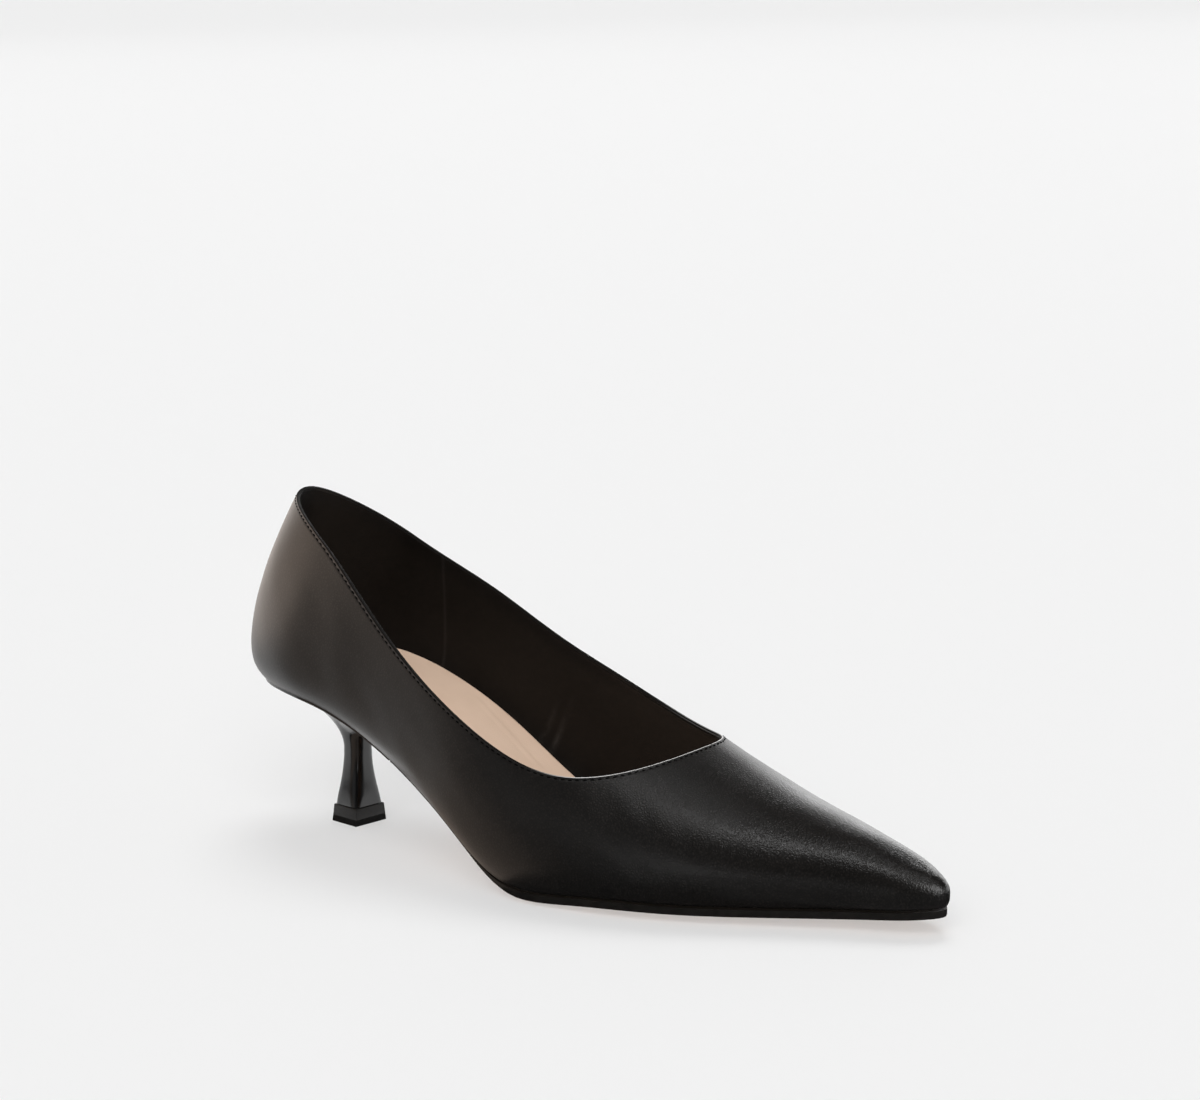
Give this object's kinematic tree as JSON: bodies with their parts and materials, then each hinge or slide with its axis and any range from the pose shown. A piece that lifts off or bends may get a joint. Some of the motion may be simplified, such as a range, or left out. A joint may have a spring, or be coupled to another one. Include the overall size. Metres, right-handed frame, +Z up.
{
  "type": "pointed toe pump",
  "caption": "Low-cut pointed toe pump for the right foot, with a hollow leather upper, padded insole, thin sole and slim flared kitten heel.",
  "frame": {"origin": "on the floor, under the middle of the shoe's length and width", "axes": "+X from heel to toe, +Y towards the inner side of the foot, +Z up"},
  "size_m": [0.25, 0.0778, 0.1045],
  "materials": {
    "upper": "smooth fine-grained black leather, soft sheen",
    "insole": "matt beige sock",
    "outsole": "dark sole edge with a satin tread",
    "heel": "gloss black moulding",
    "top_piece": "matt black"
  },
  "bodies": {
    "root": {"upper": "upper", "insole": "insole", "outsole": "outsole", "heel": "heel", "top_piece": "top_piece"}
  },
  "joints": []
}
